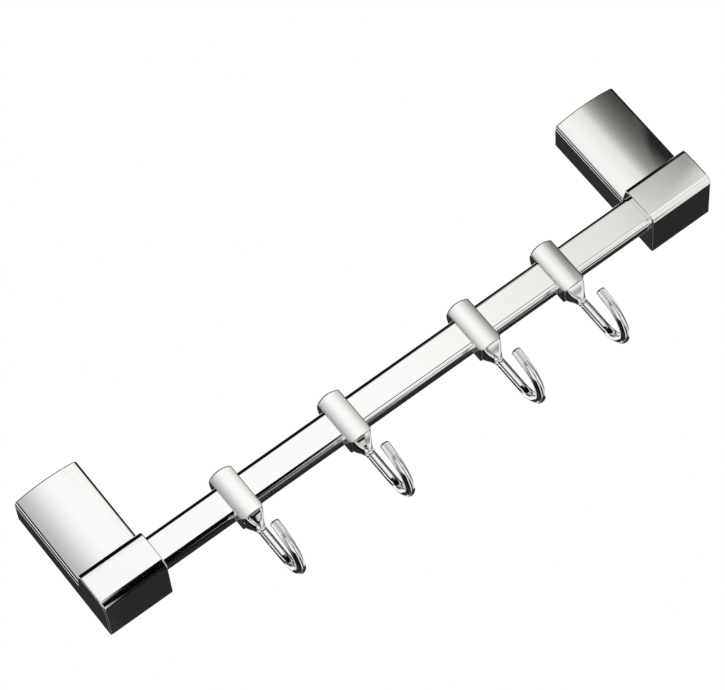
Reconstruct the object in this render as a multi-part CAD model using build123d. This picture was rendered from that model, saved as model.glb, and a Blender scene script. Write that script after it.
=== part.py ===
from build123d import *
from math import cos, radians, sin, sqrt
import os

# Hook rail: a rounded rectangular bar between two wall brackets, with four hooks that slide along it.
# Millimetres. The origin is the centre of the wall screw pattern, on the wall's face.
# +X runs along the rail, +Y goes into the wall, +Z is up. Sizes "out" are counted from the wall, towards -Y.

# Rail as a whole
bracket_spacing = 360.0         # from one bracket's centre to the other's

# Bar
bar_height = 20.0
bar_depth = 10.0
bar_corner = 3.0
bar_wall = 1.2
bar_out = 25.2                  # bar's centre line out from the wall
bar_level = 12.5                # bar's centre line above the brackets' underside
bar_entry = 15.0                # how far each end reaches into its bracket

# Bracket casting: upright plate
bracket_width = 40.0
bracket_height = 84.7
bracket_wall = 2.5
inner_corner = 0.8              # smallest corner inside the hollow castings
plate_depth = 19.0              # at the plate's side edges
plate_crown = 3.0               # how much further out the middle of its front is
plate_corner = 2.5
plate_edge = 0.8

# Bracket casting: block at its foot
block_height = 26.6
block_depth = 35.6
block_crown = 0.5
block_top_fall = 3.0            # how much the top drops from the plate to the front
block_top_crown = 0.35
block_top_corner = 3.5
block_bottom_corner = 4.5
block_edge = 0.8

# Bracket casting: inside
bar_fit = 0.15                  # gap round the bar in its socket
socket_wall = 2.4
seat_thickness = 6.5            # top end, thick enough to take the grub screw
rib_thickness = 2.2             # rib under the wall plate

# Wall plate
wall_plate_height = 43.8
wall_plate_depth = 8.0
wall_plate_web = 3.0
wall_plate_rim = 2.5
wall_plate_corner = 3.0
wall_plate_fit = 0.3            # gap to the bracket all round
slot_spacing = 26.0             # between the two slots, upright
slot_width = 5.0
slot_length = 10.0
slot_boss = 2.5                 # wall round each slot, back to the wall's face
grub_boss_wall = 2.0            # on each side of the dimple for the grub screw
grub_boss_height = 5.0

# Screws
thread_fit = 0.06               # gap between a screw and its tapped hole
grub_radius = 2.0
grub_sunk = 0.6                 # below the bracket's top end
grub_out = 4.6
grub_socket = 2.0               # across the flats of its hexagon
grub_socket_deep = 2.2
grub_point = 1.2                # height of its cone point
grub_tip_radius = 0.8
bar_screw_radius = 2.0
bar_screw_head_radius = 3.6
bar_screw_head = 2.4
bar_screw_head_edge = 0.6
bar_screw_drive_length = 5.0
bar_screw_drive = 1.0           # width of the cross recess's arms
bar_screw_drive_deep = 1.3
bar_screw_inset = 8.0           # from the bar's end of the bracket to the screw's axis
screw_hole_fit = 0.25           # gap round a screw in a plain hole
plug_length = 13.0
plug_fit = 0.1                  # gap between the plug and the tube, all round
cut_past = 1.0                  # how far a cut runs past the face that it opens

# Hook: ring round the bar
hook_positions = (-107.4, -37.0, 48.8, 104.8)
ring_width = 14.0
ring_fit = 0.3                  # running gap round the bar
ring_front_wall = 2.4           # at the middle of its crowned front
ring_back_wall = 1.7
ring_top_wall = 6.7             # at the top of its dome
ring_bottom_wall = 4.8
ring_front_crown = 1.4
ring_top_crown = 1.7            # fall of the dome towards the ring's two sides
ring_back_bottom_corner = 2.2
ring_back_top_corner = 7.0      # rounds the back of the dome
ring_side_bottom_corner = 2.0
ring_edge = 0.9

# Hook: neck, wire and bend
wire_radius = 2.75
stem_out = 21.8                 # stem's centre line out from the wall
neck_height = 9.0               # from the ring's underside to where the wire is round
neck_sink = 0.6                 # how far it starts inside the ring
neck_front_inset = 0.7          # its top set in from the ring's front
neck_back_inset = 1.3
neck_top_squareness = 1.0       # 1 is a rounded rectangle, 0 is an oval
shoulder_drop = 2.4             # from the ring's underside to the first narrower section
shoulder_width = 9.6
shoulder_depth = 9.8
shoulder_squareness = 0.75
waist_drop = 5.0                # from the ring's underside to the second one
waist_width = 6.7
waist_depth = 6.6
waist_squareness = 0.3
waist_forward = 0.3             # how far it is in front of the stem
side_angle = 22.5               # half the turn of each of an oval's eight arcs, in degrees
square_side = 0.7               # share of a square section's side that is nearly flat
square_bulge = 0.02             # how much that side bulges, as a share of its half width
bend_radius = 17.5              # centre line of the bend
bend_drop = 24.6                # from the ring's underside to the start of the bend
bend_turn = 76.0                # degrees of the front half of the bend
tip_length = 8.4
tip_rounding = 1.3

# Places that follow from the sizes above
wall_plate_top = wall_plate_height / 2
seat_level = wall_plate_top + wall_plate_fit
bracket_top = seat_level + seat_thickness
underside = bracket_top - bracket_height
bar_z = underside + bar_level
inner_face = (bracket_spacing - bracket_width) / 2
bar_half = inner_face + bar_entry
ring_bottom = bar_z - bar_height / 2 - ring_fit - ring_bottom_wall
ring_top = bar_z + bar_height / 2 + ring_fit + ring_top_wall
ring_front = bar_out + bar_depth / 2 + ring_fit + ring_front_wall
ring_back = bar_out - bar_depth / 2 - ring_fit - ring_back_wall


def rounded_bar(width, depth, height, corner, at):
    """A rounded rectangle in depth and height, drawn out along X and centred on a point."""
    profile = Plane.YZ * RectangleRounded(depth, height, corner)
    return Pos(*at) * extrude(profile, amount=width / 2, both=True)


def plate_outline(inset):
    """The upright plate seen from above, with its crowned front."""
    half = bracket_width / 2 - inset
    side = plate_depth - inset
    sides = Polyline((-half, -side), (-half, 0), (half, 0), (half, -side))
    front = ThreePointArc((half, -side), (0, -side - plate_crown), (-half, -side))
    face = make_face([*sides.edges(), front])
    front_corners = face.vertices().group_by(Axis.Y)[0]
    return fillet(front_corners, max(plate_corner - inset, inner_corner))


def block_profile(inset):
    """The block seen from the side, with its crowned front and falling top."""
    depth = block_depth - inset
    foot = underside + inset
    top = underside + block_height - inset
    brow = top - block_top_fall
    back = Polyline((-plate_depth, top), (0, top), (0, foot), (-depth, foot))
    front = ThreePointArc((-depth, foot), (-depth - block_crown, (foot + brow) / 2), (-depth, brow))
    slope_middle = ((-depth - plate_depth) / 2, (brow + top) / 2 + block_top_crown)
    slope = ThreePointArc((-depth, brow), slope_middle, (-plate_depth, top))
    face = make_face([*back.edges(), front, slope])
    toe = face.vertices().sort_by_distance((-depth, foot))[0]
    face = fillet(toe, max(block_bottom_corner - inset, inner_corner))
    crest = face.vertices().sort_by_distance((-depth, brow))[0]
    return fillet(crest, max(block_top_corner - inset, inner_corner))


def bracket_shell():
    """The casting's outside, solid, with its edges rounded."""
    base = underside + bracket_wall
    plate = Pos(0, 0, base) * extrude(plate_outline(0), amount=bracket_top - base)
    top_edges = plate.faces().sort_by(Axis.Z)[-1].edges().filter_by(lambda e: e.center().Y < -plate_edge)
    plate = fillet(top_edges, plate_edge)
    block = extrude(Plane.YZ * block_profile(0), amount=bracket_width / 2, both=True)
    side_edges = []
    for side in (block.faces().sort_by(Axis.X)[0], block.faces().sort_by(Axis.X)[-1]):
        side_edges += side.edges().filter_by(lambda e: e.center().Y < -block_edge)
    block = fillet(side_edges, block_edge)
    return plate + block


def bracket_cavity():
    """The hollow behind the plate and the block, open towards the wall."""
    seat = underside + bracket_wall
    plate = Pos(0, 0, seat) * extrude(plate_outline(bracket_wall), amount=seat_level - seat)
    inner_width = bracket_width - 2 * bracket_wall
    block = extrude(Plane.YZ * block_profile(bracket_wall), amount=inner_width / 2, both=True)
    return plate + block


def bar_socket():
    """Solid round the bar's end, inside the left bracket's block."""
    reach = bar_entry + bar_fit + socket_wall
    back = bar_out - bar_depth / 2 - bar_fit - socket_wall
    front = block_depth - bracket_wall / 2
    middle = (bracket_width / 2 - reach / 2, -(front + back) / 2, underside + bracket_wall)
    height = bar_level + bar_height / 2 + bar_fit + socket_wall - bracket_wall
    return Pos(*middle) * Box(reach, front - back, height, align=(Align.CENTER, Align.CENTER, Align.MIN))


def left_bracket():
    """The left casting, with its bar socket towards +X."""
    body = bracket_shell() - bracket_cavity()
    body += bar_socket() & bracket_shell()
    pocket_reach = bar_entry + bar_fit
    pocket_at = ((bracket_width - pocket_reach + cut_past) / 2, -bar_out, bar_z)
    body -= rounded_bar(pocket_reach + cut_past, bar_depth + 2 * bar_fit, bar_height + 2 * bar_fit,
                        bar_corner + bar_fit, pocket_at)
    rib_top = -wall_plate_top - wall_plate_fit
    rib = Box(bracket_width - bracket_wall, wall_plate_depth, rib_thickness,
              align=(Align.CENTER, Align.MAX, Align.MAX))
    body += Pos(0, 0, rib_top) * rib
    grub_hole = Cylinder(grub_radius + thread_fit, seat_thickness + 2 * cut_past,
                         align=(Align.CENTER, Align.CENTER, Align.MIN))
    body -= Pos(0, -grub_out, seat_level - cut_past) * grub_hole
    screw_hole = Cylinder(bar_screw_radius + screw_hole_fit, bar_out, rotation=(90, 0, 0),
                          align=(Align.CENTER, Align.CENTER, Align.MIN))
    body -= Pos(bracket_width / 2 - bar_screw_inset, 0, bar_z) * screw_hole
    return Pos(-bracket_spacing / 2, 0, 0) * body


def slot_shape(grow):
    """A level slot seen from the front, grown by a margin."""
    return SlotOverall(slot_length + 2 * grow, slot_width + 2 * grow)


def wall_plate():
    """The cast plate behind a bracket, cored from the back, with two level slots."""
    width = bracket_width - 2 * bracket_wall - 2 * wall_plate_fit
    front = Plane.XZ
    outline = RectangleRounded(width, wall_plate_height, wall_plate_corner)
    core = RectangleRounded(width - 2 * wall_plate_rim, wall_plate_height - 2 * wall_plate_rim,
                            max(wall_plate_corner - wall_plate_rim, inner_corner))
    plate = extrude(front * outline, amount=wall_plate_depth)
    plate -= extrude(front * core, amount=wall_plate_depth - wall_plate_web)
    grub_boss = Box(2 * (grub_radius + grub_boss_wall), wall_plate_depth, grub_boss_height,
                    align=(Align.CENTER, Align.MAX, Align.MAX))
    plate += Pos(0, 0, wall_plate_top) * grub_boss
    for level in (-slot_spacing / 2, slot_spacing / 2):
        plate += Pos(0, 0, level) * extrude(front * slot_shape(slot_boss), amount=wall_plate_depth)
    for level in (-slot_spacing / 2, slot_spacing / 2):
        plate -= Pos(0, 0, level) * extrude(front * slot_shape(0), amount=wall_plate_depth)
    dimple = Cone(grub_tip_radius + thread_fit, grub_radius + thread_fit, grub_point,
                  align=(Align.CENTER, Align.CENTER, Align.MAX))
    return plate - Pos(0, -grub_out, wall_plate_top) * dimple


def grub_screw():
    """A cone point screw with a hexagon socket, standing on its point."""
    tip = wall_plate_top - grub_point + thread_fit
    length = bracket_top - grub_sunk - tip
    point = Cone(grub_tip_radius, grub_radius, grub_point, align=(Align.CENTER, Align.CENTER, Align.MIN))
    shank = Pos(0, 0, grub_point) * Cylinder(
        grub_radius, length - grub_point, align=(Align.CENTER, Align.CENTER, Align.MIN))
    socket = extrude(RegularPolygon(grub_socket / 2, 6, major_radius=False), amount=-grub_socket_deep)
    return Pos(0, -grub_out, tip) * (point + shank - Pos(0, 0, length) * socket)


def bar():
    """The tube, with a hole at the back of each end for its screw."""
    length = 2 * bar_half
    tube = rounded_bar(length, bar_depth, bar_height, bar_corner, (0, -bar_out, bar_z))
    tube -= rounded_bar(length + 2 * cut_past, bar_depth - 2 * bar_wall, bar_height - 2 * bar_wall,
                        bar_corner - bar_wall, (0, -bar_out, bar_z))
    hole = Cylinder(bar_screw_radius + screw_hole_fit, bar_out, rotation=(90, 0, 0),
                    align=(Align.CENTER, Align.CENTER, Align.MIN))
    for side in (-1, 1):
        tube -= Pos(side * (inner_face + bar_screw_inset), 0, bar_z) * hole
    return tube


def bar_plug():
    """The tapped plug inside the left end of the tube."""
    depth = bar_depth - 2 * bar_wall - 2 * plug_fit
    height = bar_height - 2 * bar_wall - 2 * plug_fit
    corner = bar_corner - bar_wall - plug_fit
    plug = rounded_bar(plug_length, depth, height, corner, (-bar_half + plug_length / 2, -bar_out, bar_z))
    hole = Cylinder(bar_screw_radius + thread_fit, 2 * bar_depth, rotation=(90, 0, 0))
    return plug - Pos(-inner_face - bar_screw_inset, -bar_out, bar_z) * hole


def bar_screw():
    """A cheese head screw that clamps the left end of the bar to the back of its socket."""
    seat_out = bar_out - bar_depth / 2 - bar_fit - socket_wall
    shank_length = bar_out + bar_depth / 2 - bar_wall - plug_fit - seat_out - screw_hole_fit
    head = Cylinder(bar_screw_head_radius, bar_screw_head, align=(Align.CENTER, Align.CENTER, Align.MIN))
    head = fillet(head.edges().sort_by(Axis.Z)[-1], bar_screw_head_edge)
    arm = Box(bar_screw_drive_length, bar_screw_drive, bar_screw_drive_deep,
              align=(Align.CENTER, Align.CENTER, Align.MAX))
    cross = arm + Rot(0, 0, 90) * arm
    shank = Cylinder(bar_screw_radius, shank_length, align=(Align.CENTER, Align.CENTER, Align.MAX))
    screw = head + shank - Pos(0, 0, bar_screw_head) * cross
    return Pos(-inner_face - bar_screw_inset, -seat_out, bar_z) * (Rot(-90, 0, 0) * screw)


def ring_outline():
    """The ring seen from above: crowned in front, its upright edges rounded."""
    half = ring_width / 2
    brow = -ring_front + ring_front_crown
    sides = Polyline((-half, brow), (-half, -ring_back), (half, -ring_back), (half, brow))
    crown = ThreePointArc((half, brow), (0, -ring_front), (-half, brow))
    outline = make_face([*sides.edges(), crown])
    return fillet(outline.vertices(), ring_edge)


def ring_solid():
    """The hook's ring before its hole, with its domed top."""
    ring = Pos(0, 0, ring_bottom) * extrude(ring_outline(), amount=ring_top - ring_bottom)
    dome_radius = ((ring_width / 2) ** 2 + ring_top_crown ** 2) / (2 * ring_top_crown)
    column = Cylinder(dome_radius, ring_top - ring_bottom, align=(Align.CENTER, Align.CENTER, Align.MAX))
    ring &= Pos(0, -(ring_front + ring_back) / 2, ring_top - dome_radius) * (Sphere(dome_radius) + column)
    ring = fillet(ring.faces().sort_by(Axis.Z)[-1].edges(), ring_edge)
    height = ring_top - ring_bottom + ring_edge
    side = Rectangle(2 * ring_width, height, align=(Align.MAX, Align.MIN))
    heel, crest = (row.sort_by(Axis.X)[-1] for row in side.vertices().group_by(Axis.Y))
    side = fillet(heel, ring_back_bottom_corner)
    side = fillet(side.vertices().sort_by_distance(crest.center())[0], ring_back_top_corner)
    front = Rectangle(ring_width, height, align=(Align.CENTER, Align.MIN))
    front = fillet(front.vertices().group_by(Axis.Y)[0], ring_side_bottom_corner)
    ring &= extrude(Plane.YZ * (Pos(-ring_back, ring_bottom) * side), amount=ring_width, both=True)
    return ring & extrude(Plane.XZ * (Pos(0, ring_bottom) * front), amount=2 * ring_front)


def neck_section(width, depth, squareness):
    """A section of the neck, between an oval and a rounded rectangle, from eight arcs."""
    oval = (cos(radians(side_angle)), sin(radians(side_angle)), sqrt(0.5))
    square = (1 - square_bulge, square_side, 1 - (1 - square_side) * (1 - sqrt(0.5)))
    across, along, diagonal = (o + squareness * (s - o) for o, s in zip(oval, square))
    quarter = [(1, 0), (across, along), (diagonal, diagonal), (along, across)]
    points = []
    for turn in ((1, 0), (0, 1), (-1, 0), (0, -1)):
        points += [(x * turn[0] - y * turn[1], x * turn[1] + y * turn[0]) for x, y in quarter]
    points = [(x * width / 2, y * depth / 2) for x, y in points]
    arcs = [ThreePointArc(points[i - 1], points[i], points[(i + 1) % len(points)])
            for i in range(0, len(points), 2)]
    return make_face(arcs)


def hook():
    """One cast hook at x = 0: ring, neck, wire and bend."""
    ring = ring_solid()
    top_front, top_back = ring_front - neck_front_inset, ring_back + neck_back_inset
    top_middle = (top_front + top_back) / 2
    sections = [
        (-neck_sink, ring_width - 2 * ring_edge, top_front - top_back, neck_top_squareness, top_middle),
        (shoulder_drop, shoulder_width, shoulder_depth, shoulder_squareness, (top_middle + stem_out) / 2),
        (waist_drop, waist_width, waist_depth, waist_squareness, stem_out + waist_forward),
        (neck_height, 2 * wire_radius, 2 * wire_radius, 0.0, stem_out),
    ]
    faces = [Pos(0, -out, ring_bottom - drop) * neck_section(width, depth, squareness)
             for drop, width, depth, squareness, out in sections]
    neck = loft(faces)

    bend_z = ring_bottom - bend_drop
    stem = Line((0, -stem_out, ring_bottom - neck_height), (0, -stem_out, bend_z))
    bend = Plane.YZ * CenterArc((-stem_out - bend_radius, bend_z), bend_radius, 0, -90 - bend_turn)
    tip_start = bend @ 1
    tip_way = bend % 1
    tip = Line(tip_start, tip_start + tip_way * tip_length)
    path = Wire([stem, *bend.edges(), tip])
    wire = sweep(Plane(stem @ 0, z_dir=stem % 0) * Circle(wire_radius), path=path)
    end_edge = wire.edges().filter_by(GeomType.CIRCLE).sort_by(Axis.Y)[0]
    wire = fillet(end_edge, tip_rounding)

    hole = rounded_bar(ring_width + 2 * cut_past, bar_depth + 2 * ring_fit, bar_height + 2 * ring_fit,
                       bar_corner + ring_fit, (0, -bar_out, bar_z))
    return ring + neck + wire - hole


def build():
    """Every piece by its name."""
    pieces = {"bar": bar()}
    left = {
        "bracket": left_bracket(),
        "wall_plate": Pos(-bracket_spacing / 2, 0, 0) * wall_plate(),
        "grub_screw": Pos(-bracket_spacing / 2, 0, 0) * grub_screw(),
        "bar_plug": bar_plug(),
        "bar_screw": bar_screw(),
    }
    for name, piece in left.items():
        pieces["left_" + name] = piece
        pieces["right_" + name] = mirror(piece, about=Plane.YZ)
    cast_hook = hook()
    for number, place in enumerate(hook_positions, start=1):
        pieces[f"hook_{number}"] = Pos(place, 0, 0) * cast_hook
    return pieces


os.makedirs("parts", exist_ok=True)
for node, piece in build().items():
    export_step(piece, f"parts/{node}.step")
    print(node, round(piece.volume, 1))
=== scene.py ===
"""Looks of a wall rail with sliding hooks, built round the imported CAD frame.

Metres, in the CAD frame: +X along the bar, +Y into the wall, +Z up, the wall's face at y = 0.
"""

import logging
import math
from dataclasses import dataclass
from enum import Enum

import bmesh
import bpy
from mathutils import Euler, Matrix, Vector


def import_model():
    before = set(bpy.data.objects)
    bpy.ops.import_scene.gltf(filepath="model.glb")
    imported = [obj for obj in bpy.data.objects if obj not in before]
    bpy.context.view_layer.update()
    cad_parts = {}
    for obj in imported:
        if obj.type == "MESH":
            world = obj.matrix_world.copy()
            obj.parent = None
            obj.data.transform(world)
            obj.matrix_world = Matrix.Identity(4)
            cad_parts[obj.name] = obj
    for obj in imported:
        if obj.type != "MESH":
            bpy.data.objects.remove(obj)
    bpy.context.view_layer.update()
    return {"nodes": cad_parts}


log = logging.getLogger("hook_rail")


def linear(hex_colour: str) -> tuple[float, float, float, float]:
    """Turn an sRGB hex colour into the linear values that a shader takes.

    Args:
        hex_colour: six hex digits after a hash.

    Returns:
        Red, green, blue and an alpha of 1.
    """
    channels = [int(hex_colour[i:i + 2], 16) / 255 for i in (1, 3, 5)]
    return (*(c / 12.92 if c <= 0.04045 else ((c + 0.055) / 1.055) ** 2.4 for c in channels), 1.0)


def add_node(tree: bpy.types.NodeTree, kind: str, links: dict | None = None, values: dict | None = None,
             **settings: object) -> bpy.types.Node:
    """Add one node with its settings, its socket values and its incoming links.

    Args:
        tree: the node tree that takes it.
        kind: the node's type, such as "ShaderNodeMath".
        links: input name or number to the output socket that feeds it.
        values: input name or number to its value.
        **settings: attributes of the node itself.

    Returns:
        The new node.
    """
    node = tree.nodes.new(kind)
    for name, value in settings.items():
        setattr(node, name, value)
    for name, value in (values or {}).items():
        node.inputs[name].default_value = value
    for name, socket in (links or {}).items():
        tree.links.new(socket, node.inputs[name])
    return node


def new_material(name: str) -> tuple[bpy.types.Material, bpy.types.NodeTree]:
    """Make an empty node material.

    Args:
        name: the finish it stands for.

    Returns:
        The material and its cleared node tree.
    """
    material = bpy.data.materials.new(name)
    material.use_nodes = True
    material.node_tree.nodes.clear()
    return material, material.node_tree


@dataclass(frozen=True)
class PolishedChrome:
    """Bright chromium plate over a hand polished casting or tube.

    It gives the eye a near perfect mirror with a faint warm tint, a few fine wiping marks and a
    slow ripple left by the polishing wheel.
    """

    name: str = "bright_chrome_plate"
    mirror: str = "#fafaf8"
    haze_low: float = 0.015
    haze_high: float = 0.045
    wipe_mm: float = 0.6
    wipe_stretch: tuple[float, float, float] = (0.15, 1.0, 1.0)
    wipe_clean: float = 0.35
    wipe_hazy: float = 0.75
    ripple_mm: float = 14.0
    ripple_height_mm: float = 0.0006

    def build(self) -> bpy.types.Material:
        """Make the material.

        Returns:
            The material.
        """
        material, tree = new_material(self.name)
        place = add_node(tree, "ShaderNodeTexCoord")
        stretched = add_node(tree, "ShaderNodeMapping", {"Vector": place.outputs["Object"]},
                             {"Scale": self.wipe_stretch})
        wipes = add_node(tree, "ShaderNodeTexNoise", {"Vector": stretched.outputs[0]},
                         {"Scale": 1000 / self.wipe_mm, "Detail": 3.0, "Roughness": 0.6})
        haze = add_node(tree, "ShaderNodeMapRange", {"Value": wipes.outputs["Fac"]},
                        {"From Min": self.wipe_clean, "From Max": self.wipe_hazy,
                         "To Min": self.haze_low, "To Max": self.haze_high})
        ripple = add_node(tree, "ShaderNodeTexNoise", {"Vector": place.outputs["Object"]},
                          {"Scale": 1000 / self.ripple_mm, "Detail": 1.0})
        bump = add_node(tree, "ShaderNodeBump", {"Height": ripple.outputs["Fac"]},
                        {"Strength": 1.0, "Distance": self.ripple_height_mm / 1000})
        shader = add_node(tree, "ShaderNodeBsdfPrincipled",
                          {"Roughness": haze.outputs[0], "Normal": bump.outputs[0]},
                          {"Base Color": linear(self.mirror), "Metallic": 1.0})
        add_node(tree, "ShaderNodeOutputMaterial", {"Surface": shader.outputs[0]})
        return material


@dataclass(frozen=True)
class PlainMetal:
    """A hidden metal part as it leaves the mould or the lathe.

    It gives the eye a dull grey or yellow metal with a fine grain and slightly uneven colour.
    """

    name: str
    light: str
    dark: str
    roughness: float
    grain_mm: float
    grain_height_mm: float
    lay: tuple[float, float, float] = (1.0, 1.0, 1.0)
    unevenness: float = 0.08

    def build(self) -> bpy.types.Material:
        """Make the material.

        Returns:
            The material.
        """
        material, tree = new_material(self.name)
        place = add_node(tree, "ShaderNodeTexCoord")
        lay = add_node(tree, "ShaderNodeMapping", {"Vector": place.outputs["Object"]}, {"Scale": self.lay})
        grain = add_node(tree, "ShaderNodeTexNoise", {"Vector": lay.outputs[0]},
                         {"Scale": 1000 / self.grain_mm, "Detail": 4.0, "Roughness": 0.65})
        colour = add_node(tree, "ShaderNodeMix", {"Factor": grain.outputs["Fac"]}, data_type="RGBA")
        colour.inputs[6].default_value = linear(self.dark)
        colour.inputs[7].default_value = linear(self.light)
        rough = add_node(tree, "ShaderNodeMapRange", {"Value": grain.outputs["Fac"]},
                         {"To Min": self.roughness - self.unevenness,
                          "To Max": self.roughness + self.unevenness})
        bump = add_node(tree, "ShaderNodeBump", {"Height": grain.outputs["Fac"]},
                        {"Strength": 1.0, "Distance": self.grain_height_mm / 1000})
        shader = add_node(tree, "ShaderNodeBsdfPrincipled",
                          {"Base Color": colour.outputs[2], "Roughness": rough.outputs[0],
                           "Normal": bump.outputs[0]}, {"Metallic": 1.0})
        add_node(tree, "ShaderNodeOutputMaterial", {"Surface": shader.outputs[0]})
        return material


# Die cast zinc alloy as cast: a light matt grey with a sandy grain.
CAST_ZINC = PlainMetal("die_cast_zinc", "#b4b5b6", "#8e9092", 0.5, 0.5, 0.012)
# Zinc plated screw steel: a satin grey with fine turning lines round the shank.
PLATED_STEEL = PlainMetal("zinc_plated_steel", "#a9aaab", "#77797c", 0.32, 0.25, 0.004, (1.0, 1.0, 4.0))
# Free cutting brass, turned: a warm yellow with fine lines.
TURNED_BRASS = PlainMetal("turned_brass", "#cdb070", "#a5854a", 0.35, 0.3, 0.004, (4.0, 1.0, 1.0))


class Side(Enum):
    """The two ends of the rail."""

    LEFT = "left"
    RIGHT = "right"


def dress(nodes: dict, name: str, material: bpy.types.Material) -> None:
    """Give a CAD node its finish and report it.

    Args:
        nodes: the frame's nodes by name.
        name: the node to dress.
        material: the finish.
    """
    mesh = nodes[name].data
    mesh.materials.clear()
    mesh.materials.append(material)
    log.info("%s: %s, %d faces", name, material.name, len(mesh.polygons))


@dataclass
class Finishes:
    """The finishes that the sub-assemblies share."""

    chrome: bpy.types.Material
    zinc: bpy.types.Material
    steel: bpy.types.Material
    brass: bpy.types.Material


@dataclass
class Bar:
    """The chromed tube between the brackets."""

    finishes: Finishes

    def build(self, nodes: dict) -> None:
        """Dress the tube."""
        dress(nodes, "bar", self.finishes.chrome)


@dataclass
class Bracket:
    """One end of the rail: the casting and what it hides."""

    side: Side
    finishes: Finishes

    def build(self, nodes: dict) -> None:
        """Dress the casting, its wall plate, its two screws and the bar's plug.

        Args:
            nodes: the frame's nodes by name.
        """
        end = self.side.value
        dress(nodes, f"{end}_bracket", self.finishes.chrome)
        dress(nodes, f"{end}_wall_plate", self.finishes.zinc)
        dress(nodes, f"{end}_grub_screw", self.finishes.steel)
        dress(nodes, f"{end}_bar_screw", self.finishes.steel)
        dress(nodes, f"{end}_bar_plug", self.finishes.brass)


# The hooks count from the left.
HOOK_NUMBERS = (1, 2, 3, 4)


@dataclass
class SlidingHook:
    """One cast hook: its ring, neck and wire."""

    number: int
    finishes: Finishes

    def build(self, nodes: dict) -> None:
        """Dress the casting."""
        dress(nodes, f"hook_{self.number}", self.finishes.chrome)


# A painted reflection's edge where it needs no softness.
CRISP = 0.01


def soft(x: float = CRISP, y: float = CRISP, z: float = CRISP) -> tuple[float, float, float]:
    """Give the widths of a painted reflection's soft edge along each axis, crisp where none is named.

    Args:
        x: width along X.
        y: width along Y.
        z: width along Z.

    Returns:
        The three widths.
    """
    return (x, y, z)


@dataclass(frozen=True)
class PaintedReflection:
    """A painted reflection: a grey or black glowing sheet that only the polished metal mirrors, lighting
    nothing and casting no shadow.

    Args:
        name: the painted reflection's place and tone.
        low: its corner with the lowest coordinates.
        high: its corner with the highest coordinates.
        grey: its colour as the metal shows it.
        soft_low: width of the soft edge at its low end, along each axis.
        soft_high: width of the soft edge at its high end, along each axis.
    """

    name: str
    low: tuple[float, float, float]
    high: tuple[float, float, float]
    grey: str
    soft_low: tuple[float, float, float] = soft()
    soft_high: tuple[float, float, float] = soft()

    def build(self) -> bpy.types.Material:
        """Make the painted reflection's glowing material, which thins out to clear over its soft edges.

        Returns:
            The material.
        """
        material, tree = new_material(self.name)
        place = add_node(tree, "ShaderNodeTexCoord")
        parts = add_node(tree, "ShaderNodeSeparateXYZ", {"Vector": place.outputs["Object"]})
        cover = None
        for axis in range(3):
            low, high = self.low[axis], self.high[axis]
            if high == low:
                continue
            for start, end in ((low, low + self.soft_low[axis]), (high, high - self.soft_high[axis])):
                ramp = add_node(tree, "ShaderNodeMapRange", {"Value": parts.outputs[axis]},
                                {"From Min": start, "From Max": end}, interpolation_type="SMOOTHSTEP")
                if cover is None:
                    cover = ramp.outputs[0]
                else:
                    cover = add_node(tree, "ShaderNodeMath", {0: cover, 1: ramp.outputs[0]},
                                     operation="MULTIPLY").outputs[0]
        # The painted reflection: an emission that fades to clear over the soft edges.
        clear = add_node(tree, "ShaderNodeBsdfTransparent")
        glow = add_node(tree, "ShaderNodeEmission", None, {"Color": linear(self.grey)})
        both = add_node(tree, "ShaderNodeMixShader", {0: cover, 1: clear.outputs[0], 2: glow.outputs[0]})
        add_node(tree, "ShaderNodeOutputMaterial", {"Surface": both.outputs[0]})
        return material


# The room that most painted reflections line. Where none covers it, reflections show white.
LEFT = -1.70
RIGHT = 1.70
FRONT = -1.60
BACK = 1.70
BOTTOM = -1.25
TOP = 1.70
# A second wall beyond the front one.
FAR_FRONT = -2.95

# Glowing sheets that only reflections see: painted reflections, light and dark, which the chrome mirrors.
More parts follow.
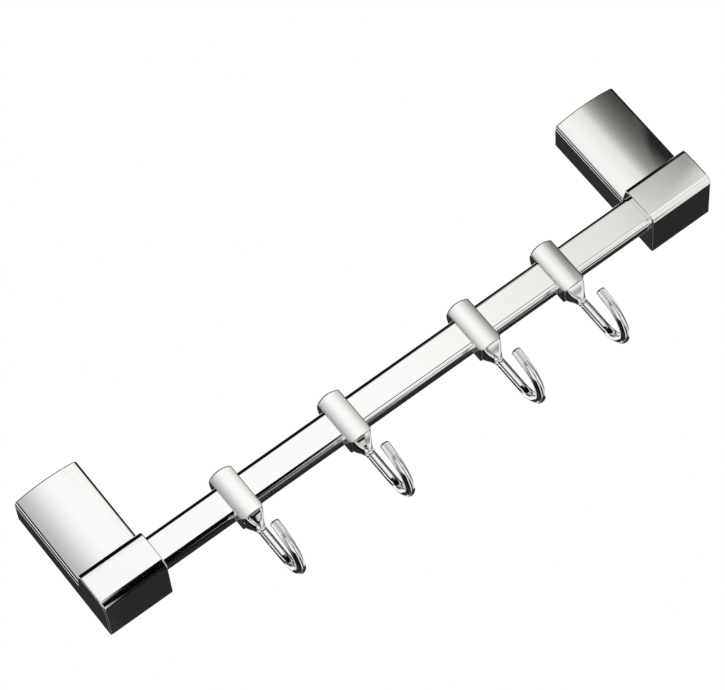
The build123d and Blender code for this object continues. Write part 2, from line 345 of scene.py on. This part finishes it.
PAINTED_REFLECTIONS = (
    # Painted reflections in front: a white gap from 16 to 26 degrees up, which the flat fronts show, greyer
    # to the left.
    PaintedReflection("left_grey_painted_reflection", (-1.06, FRONT, -0.20), (0.20, FRONT, 1.40), "#b4b4b4", soft(x=0.02), soft(x=1.15)),
    PaintedReflection("left_dark_painted_reflection", (LEFT, FRONT, 0.30), (-1.02, FRONT, TOP), "#101010", soft(z=0.06), soft(x=0.05)),
    PaintedReflection("upper_left_painted_reflection", (LEFT, -1.58, 0.76), (0.90, -1.58, TOP), "#1e1e1e", soft(z=0.22), soft(x=0.30)),
    PaintedReflection("upper_right_painted_reflection", (0.80, -1.59, 0.95), (RIGHT, -1.59, TOP), "#1e1e1e", soft(x=0.10, z=0.22)),
    PaintedReflection("lower_right_painted_reflection_strip", (0.27, -1.57, 0.05), (RIGHT, -1.57, 0.40), "#1c1c1c",
         soft(x=0.06, z=0.06), soft(z=0.12)),
    # Painted reflections in front, farther away and low: black where the undersides' edges look, grey to both
    # sides.
    PaintedReflection("far_black_painted_reflection", (0.20, -2.90, BOTTOM), (0.66, -2.90, 0.80), "#040404",
         soft(x=0.06), soft(x=0.08, z=0.18)),
    PaintedReflection("far_left_painted_reflection", (-3.0, FAR_FRONT, BOTTOM), (0.22, FAR_FRONT, 0.30), "#8c8c8c",
         soft_high=soft(x=0.04, z=1.2)),
    PaintedReflection("far_right_painted_reflection", (1.40, FAR_FRONT, BOTTOM), (3.0, FAR_FRONT, 0.30), "#9c9c9c",
         soft(x=0.20), soft(z=1.0)),
    # Painted reflections below: a black lane, white to its right, with two lighter patches that the necks'
    # fronts show.
    PaintedReflection("floor_patch_painted_reflection", (0.06, -0.66, -1.245), (0.33, -0.30, -1.245), "#8a8a8a",
         soft(x=0.06, y=0.06), soft(x=0.03, y=0.06)),
    PaintedReflection("floor_spot_painted_reflection", (0.11, -0.13, -1.240), (0.27, 0.12, -1.240), "#d0d0d0",
         soft(x=0.04, y=0.05), soft(x=0.04, y=0.05)),
    PaintedReflection("floor_black_painted_reflection", (-0.03, FRONT, BOTTOM), (0.31, -0.15, BOTTOM), "#040404",
         soft(x=0.03), soft(x=0.06, y=0.15)),
    PaintedReflection("floor_middle_black_painted_reflection", (0.05, -2.25, BOTTOM), (0.46, -1.58, BOTTOM), "#040404",
         soft(x=0.04), soft(x=0.06)),
    PaintedReflection("floor_far_black_painted_reflection", (0.15, -2.92, BOTTOM), (0.60, -2.23, BOTTOM), "#040404",
         soft(x=0.04), soft(x=0.06)),
    PaintedReflection("floor_grey_painted_reflection", (0.25, -1.20, -1.252), (0.60, -0.60, -1.252), "#969696",
         soft(x=0.06, y=0.20), soft(x=0.06, y=0.05)),
    PaintedReflection("floor_back_painted_reflection", (0.25, -0.32, -1.254), (0.60, BACK, -1.254), "#2c2c2c",
         soft(x=0.06, y=0.60), soft(x=0.06)),
    PaintedReflection("floor_dark_painted_reflection", (-0.03, -0.60, -1.256), (0.31, BACK, -1.256), "#1c1c1c",
         soft(x=0.03), soft(x=0.06)),
    PaintedReflection("floor_left_painted_reflection", (LEFT, -0.45, -1.258), (-0.30, BACK, -1.258), "#141414",
         soft(y=0.20), soft(x=0.10)),
    # Painted reflections behind: dark where the undersides and the left sides look, grey low in the middle.
    PaintedReflection("back_left_painted_reflection", (-0.85, BACK, 0.25), (-0.25, BACK, 1.15), "#2e2e2e",
         soft(x=0.08), soft(x=0.08, z=0.08)),
    PaintedReflection("back_left_low_painted_reflection", (LEFT, 1.69, BOTTOM), (-0.45, 1.69, 0.30), "#292929",
         soft_high=soft(x=0.10, z=0.05)),
    PaintedReflection("back_low_painted_reflection", (-0.02, 1.69, BOTTOM), (0.95, 1.69, 0.30), "#292929",
         soft(x=0.11), soft(x=0.05, z=0.10)),
    PaintedReflection("back_middle_painted_reflection", (-0.55, 1.71, BOTTOM), (0.12, 1.71, 0.50), "#626262", soft_high=soft(z=0.9)),
    PaintedReflection("back_right_painted_reflection", (0.95, BACK, 0.40), (RIGHT, BACK, TOP), "#161616", soft(x=0.10)),
    PaintedReflection("far_back_painted_reflection", (0.22, 2.95, 0.90), (1.35, 2.95, 1.45), "#292929",
         soft(x=0.05, z=0.05), soft(x=0.05, z=0.05)),
    # Painted reflection above.
    PaintedReflection("ceiling_painted_reflection", (LEFT, FRONT, TOP), (RIGHT, 1.50, TOP), "#0a0a0a", soft_high=soft(y=1.20)),
    # Painted reflections to the sides: dark high up, grey low down, and dark again at the bottom towards the
    # back.
    PaintedReflection("left_front_painted_reflection", (LEFT, FRONT, 0.30), (LEFT, -0.95, TOP), "#101010", soft(z=0.06), soft(y=0.05)),
    PaintedReflection("left_back_painted_reflection", (LEFT, -0.30, 0.30), (LEFT, BACK, 1.10), "#101010",
         soft(y=0.05, z=0.06), soft(z=0.06)),
    PaintedReflection("left_low_back_painted_reflection", (LEFT, 0.60, BOTTOM), (LEFT, BACK, 0.35), "#292929", soft(y=0.20)),
    PaintedReflection("left_low_painted_reflection", (-1.71, FRONT, BOTTOM), (-1.71, 0.80, 0.30), "#9a9a9a", soft_high=soft(z=0.9)),
    PaintedReflection("left_bottom_painted_reflection", (-1.69, -0.40, BOTTOM), (-1.69, BACK, -0.50), "#161616",
         soft(y=0.30), soft(z=0.25)),
    PaintedReflection("right_bottom_painted_reflection", (1.69, -0.40, BOTTOM), (1.69, BACK, -0.50), "#161616",
         soft(y=0.30), soft(z=0.25)),
    PaintedReflection("right_painted_reflection", (RIGHT, FRONT, 0.30), (RIGHT, BACK, TOP), "#161616", soft(z=0.06)),
    PaintedReflection("right_low_painted_reflection", (1.71, FRONT, BOTTOM), (1.71, BACK, 0.32), "#8c8c8c", soft_high=soft(z=0.8)),
    # Painted reflections close to the right end: one puts a warm painted reflection on what stands near it,
    # two put dark painted reflections on its right edges.
    PaintedReflection("near_warm_painted_reflection", (0.08, -0.42, -0.10), (0.75, -0.42, 0.40), "#dcdad4",
         soft(x=0.286, z=0.02), soft(x=0.05, z=0.10)),
    PaintedReflection("near_right_painted_reflection", (0.26, -0.40, -0.005), (0.26, 0.05, 0.22), "#242424",
         soft(y=0.385, z=0.05), soft(z=0.05)),
    PaintedReflection("near_right_low_painted_reflection", (0.261, -0.20, -0.04), (0.261, 0.05, 0.045), "#242424",
         soft(y=0.12), soft(z=0.02)),
)


@dataclass(frozen=True)
class Lamp:
    """One soft area lamp that faces the rail and that no reflection shows.

    Args:
        name: what it is in the studio.
        place: where it hangs.
        watts: its power.
        size: its side.
    """

    name: str
    place: tuple[float, float, float]
    watts: float
    size: float = 0.9

    def build(self) -> None:
        """Hang the lamp."""
        data = bpy.data.lights.new(self.name, "AREA")
        data.size = self.size
        data.energy = self.watts
        lamp = bpy.data.objects.new(self.name, data)
        lamp.location = self.place
        lamp.rotation_euler = (-Vector(self.place)).to_track_quat("-Z", "Y").to_euler()
        lamp.visible_glossy = False
        bpy.context.scene.collection.objects.link(lamp)


LAMPS = (Lamp("key_lamp", (-0.6, -1.4, 1.0), 14.0), Lamp("fill_lamp", (1.0, -1.2, 0.6), 7.0))


@dataclass
class Studio:
    """Floor, white surroundings, painted reflections, lamps and camera."""

    floor_level: float = -1.3
    floor_reach: float = 3.0
    floor_glow: float = 0.12
    fill_level: float = 0.6
    painted_reflections: tuple[PaintedReflection, ...] = PAINTED_REFLECTIONS
    lamps: tuple[Lamp, ...] = LAMPS
    lens_mm: float = 202.46
    sensor_mm: float = 36.0
    camera_place: tuple[float, float, float] = (-0.50515, -1.95695, -0.82610)
    # Turns about X, then Y, then Z.
    camera_turn_degrees: tuple[float, float, float] = (118.2021, 37.1145, 3.3566)

    def only_mirrored(self, piece: bpy.types.Object) -> None:
        """Let only reflections see a sheet, so that it shows as a painted reflection.

        Args:
            piece: the object.
        """
        piece.visible_camera = False
        piece.visible_diffuse = False
        piece.visible_shadow = False
        piece.visible_transmission = False

    def flat_sheet(self, name: str, low: Vector, high: Vector) -> bpy.types.Object:
        """Make a flat rectangle between two corners that share one coordinate.

        Args:
            name: the object's name.
            low: one corner.
            high: the opposite corner.

        Returns:
            The linked object.
        """
        mesh = bpy.data.meshes.new(name)
        shape = bmesh.new()
        span = high - low
        flat = min(range(3), key=lambda axis: abs(span[axis]))
        first, second = (axis for axis in range(3) if axis != flat)
        corners = []
        for a, b in ((0, 0), (1, 0), (1, 1), (0, 1)):
            corner = low.copy()
            corner[first] += a * span[first]
            corner[second] += b * span[second]
            corners.append(shape.verts.new(corner))
        shape.faces.new(corners)
        shape.to_mesh(mesh)
        shape.free()
        piece = bpy.data.objects.new(name, mesh)
        bpy.context.scene.collection.objects.link(piece)
        return piece

    def seen_white(self, tree: bpy.types.NodeTree) -> bpy.types.NodeSocket:
        """Tell the rays that see the pale background from those that carry light.

        Args:
            tree: the world's or a material's node tree.

        Returns:
            A socket that is 1 for camera, mirror and clear rays.
        """
        rays = add_node(tree, "ShaderNodeLightPath")
        mirrored = add_node(tree, "ShaderNodeMath",
                            {0: rays.outputs["Is Camera Ray"], 1: rays.outputs["Is Glossy Ray"]},
                            operation="MAXIMUM")
        every = add_node(tree, "ShaderNodeMath",
                         {0: mirrored.outputs[0], 1: rays.outputs["Is Transmission Ray"]},
                         operation="MAXIMUM")
        return every.outputs[0]

    def world(self) -> None:
        """Fill the surroundings: plain white to the eye, a soft fill to matt surfaces."""
        world = bpy.data.worlds.new("studio_surroundings")
        world.use_nodes = True
        tree = world.node_tree
        tree.nodes.clear()
        strength = add_node(tree, "ShaderNodeMapRange", {"Value": self.seen_white(tree)},
                            {"To Min": self.fill_level, "To Max": 1.0})
        background = add_node(tree, "ShaderNodeBackground", {"Strength": strength.outputs[0]},
                              {"Color": linear("#ffffff")})
        add_node(tree, "ShaderNodeOutputWorld", {"Surface": background.outputs[0]})
        bpy.context.scene.world = world

    def floor(self) -> None:
        """Lay the pale floor far below the rail."""
        reach = self.floor_reach
        piece = self.flat_sheet("pale_floor", Vector((-reach, -reach, self.floor_level)),
                                Vector((reach, reach, self.floor_level)))
        material, tree = new_material("pale_floor_paper")
        matt = add_node(tree, "ShaderNodeBsdfDiffuse", None, {"Color": linear("#f2f2f0")})
        glow = add_node(tree, "ShaderNodeEmission", None, {"Strength": self.floor_glow})
        both = add_node(tree, "ShaderNodeAddShader", {0: matt.outputs[0], 1: glow.outputs[0]})
        add_node(tree, "ShaderNodeOutputMaterial", {"Surface": both.outputs[0]})
        piece.data.materials.append(material)

    def camera(self) -> None:
        """Set the camera at the photograph's angle, worked out from the rail's own edges."""
        data = bpy.data.cameras.new("camera")
        data.sensor_width = self.sensor_mm
        data.lens = self.lens_mm
        camera = bpy.data.objects.new("camera", data)
        turn = Euler([math.radians(angle) for angle in self.camera_turn_degrees])
        camera.matrix_world = Matrix.Translation(self.camera_place) @ turn.to_matrix().to_4x4()
        bpy.context.scene.collection.objects.link(camera)
        bpy.context.scene.camera = camera

    def build(self) -> None:
        """Set up everything round the rail."""
        bpy.context.scene.view_settings.view_transform = "Standard"
        self.world()
        self.floor()
        # Painted reflections: glowing sheets that only the chrome's reflections show.
        for painted_reflection in self.painted_reflections:
            piece = self.flat_sheet(painted_reflection.name, Vector(painted_reflection.low), Vector(painted_reflection.high))
            piece.data.materials.append(painted_reflection.build())
            self.only_mirrored(piece)
        for lamp in self.lamps:
            lamp.build()
        self.camera()


def main() -> None:
    """Build the looks in order and report each piece."""
    logging.basicConfig(level=logging.INFO, format="%(name)s %(message)s")
    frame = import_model()
    nodes = frame["nodes"]
    finishes = Finishes(chrome=PolishedChrome().build(), zinc=CAST_ZINC.build(),
                        steel=PLATED_STEEL.build(), brass=TURNED_BRASS.build())
    Bar(finishes).build(nodes)
    for side in Side:
        Bracket(side, finishes).build(nodes)
    for number in HOOK_NUMBERS:
        SlidingHook(number, finishes).build(nodes)
    Studio().build()


if __name__ == "__main__":
    main()
